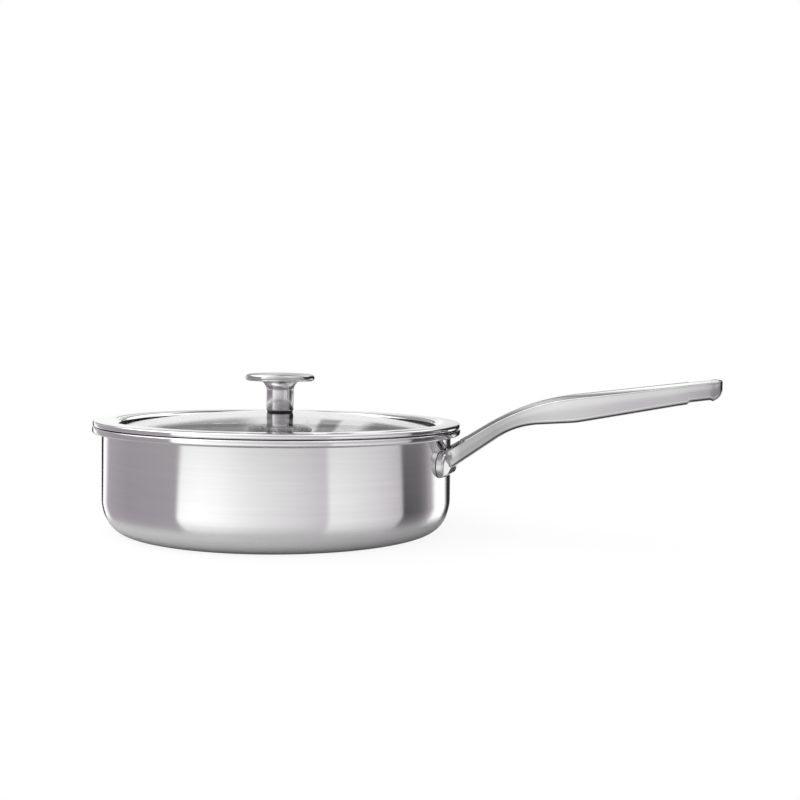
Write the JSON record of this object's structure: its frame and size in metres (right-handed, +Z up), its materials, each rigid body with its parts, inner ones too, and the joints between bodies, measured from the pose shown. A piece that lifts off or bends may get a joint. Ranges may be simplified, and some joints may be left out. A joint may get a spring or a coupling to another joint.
{
  "type": "saute pan with lid",
  "caption": "Straight-sided clad stainless saute pan with a long cast handle and a lift-off domed glass lid in a steel band with a mushroom knob.",
  "frame": {"origin": "centre of the pan base's underside, on the hob", "axes": "+Z up along the pan's axis, +X from the pan towards the tip of the handle"},
  "size_m": [0.4309, 0.2578, 0.1119],
  "materials": {
    "pan_outer_ply": "fine lines brushed round the wall",
    "pan_core_ply": "plain, closed in",
    "pan_inner_ply": "fine lines brushed round the wall",
    "handle": "cast, satin",
    "rivet": "satin",
    "lid_glass": "clear",
    "lid_ring": "polished",
    "lid_seal": "matt black silicone",
    "knob": "satin, turned",
    "gasket": "matt black silicone",
    "fixing": "plain"
  },
  "bodies": {
    "pan": {"pan_outer_ply": "pan_outer_ply", "pan_core_ply": "pan_core_ply", "pan_inner_ply": "pan_inner_ply", "handle": "handle", "handle_rivet_near": "rivet", "handle_rivet_far": "rivet"},
    "lid": {"lid_glass": "lid_glass", "lid_ring": "lid_ring", "lid_seal": "lid_seal", "knob": "knob", "knob_upper_gasket": "gasket", "knob_lower_gasket": "gasket", "knob_washer": "fixing", "knob_lock_washer": "fixing", "knob_screw": "fixing"}
  },
  "joints": [
    {"name": "lid_lift", "type": "slide", "parent": "pan", "child": "lid", "axis": [0, 0, 1], "range_m": [0, 0.06]}
  ]
}
